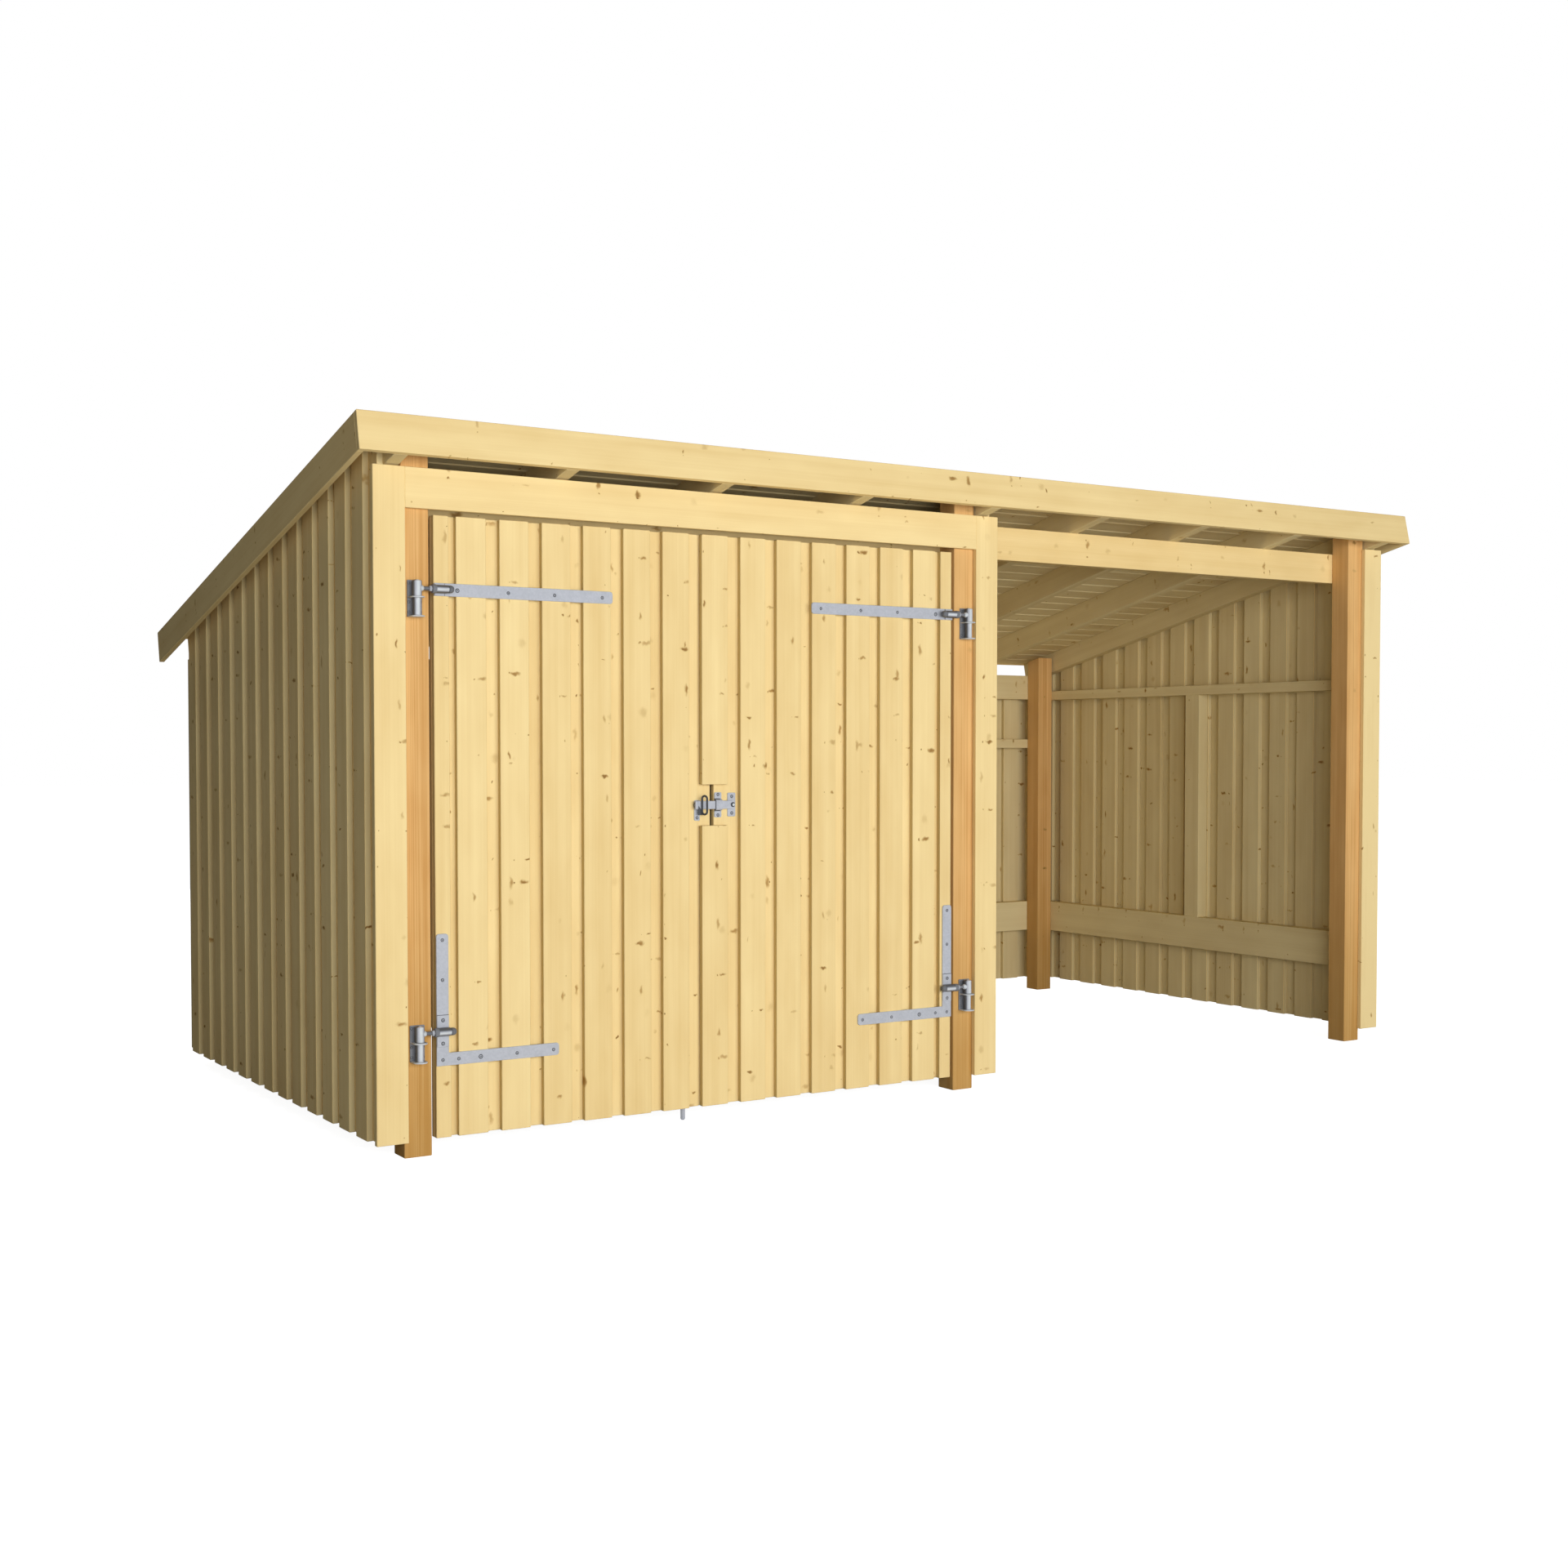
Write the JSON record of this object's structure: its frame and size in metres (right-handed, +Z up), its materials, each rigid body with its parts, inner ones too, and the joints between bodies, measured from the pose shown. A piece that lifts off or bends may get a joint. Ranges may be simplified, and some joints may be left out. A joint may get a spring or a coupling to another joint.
{
  "type": "garden shed with an open bay",
  "caption": "Timber garden shed with a mono-pitch roof, a bay closed by ledged double doors on adjustable hinges and a bay open at the front.",
  "frame": {"origin": "middle of the base of the bounding box, on the ground", "axes": "+X along the front from the doors to the open bay, -Y out of the front, +Z up"},
  "size_m": [4.708, 2.4278, 2.284],
  "materials": {
    "post_timber": "planed heartwood",
    "frame_timber": "planed pine",
    "wall_boards": "planed pine",
    "door_boards": "planed pine",
    "trim_boards": "planed pine",
    "zinc_steel": "galvanised",
    "roof_felt": "mineral roofing felt"
  },
  "bodies": {
    "frame": {"post_front_left": "post_timber", "post_front_mid": "post_timber", "post_front_right": "post_timber", "post_back_left": "post_timber", "post_back_mid": "post_timber", "post_back_right": "post_timber", "front_beam": "trim_boards", "back_beam": "frame_timber", "door_header": "trim_boards", "rafters": "frame_timber", "roof_deck": "frame_timber", "roof_felt": "roof_felt", "front_fascia": "trim_boards", "rear_fascia": "trim_boards", "left_verge": "trim_boards", "right_verge": "trim_boards", "left_wall_frame": "frame_timber", "left_wall_cladding": "wall_boards", "right_wall_frame": "frame_timber", "right_wall_cladding": "wall_boards", "partition_frame": "frame_timber", "partition_cladding": "wall_boards", "back_wall_rails": "frame_timber", "back_wall_cladding": "wall_boards", "left_corner_board": "trim_boards", "mid_trim_board": "trim_boards", "right_corner_board": "trim_boards", "left_hinge_brackets": "zinc_steel", "right_hinge_brackets": "zinc_steel"},
    "left_door": {"left_door_boards": "door_boards", "left_door_ledges": "frame_timber", "left_door_bands": "zinc_steel", "latch_keeper": "zinc_steel", "drop_bolt_guides": "zinc_steel"},
    "right_door": {"right_door_boards": "door_boards", "right_door_ledges": "frame_timber", "door_cover_board": "door_boards", "right_door_bands": "zinc_steel", "latch_bar": "zinc_steel"},
    "drop_bolt": {"drop_bolt": "zinc_steel"}
  },
  "joints": [
    {"name": "right_door_hinge", "type": "hinge", "parent": "frame", "child": "right_door", "pos_m": [0.003, -1.12485, 0], "axis": [0, 0, 1], "range_deg": [0, 110]},
    {"name": "left_door_hinge", "type": "hinge", "parent": "frame", "child": "left_door", "pos_m": [-2.143, -1.12485, 0], "axis": [0, 0, -1], "range_deg": [0, 110]},
    {"name": "drop_bolt_slide", "type": "slide", "parent": "left_door", "child": "drop_bolt", "axis": [0, 0, 1], "range_m": [0, 0.06]}
  ],
  "couplings": [
    {"joint": "left_door_hinge", "follows": "right_door_hinge", "ratio": 1}
  ]
}
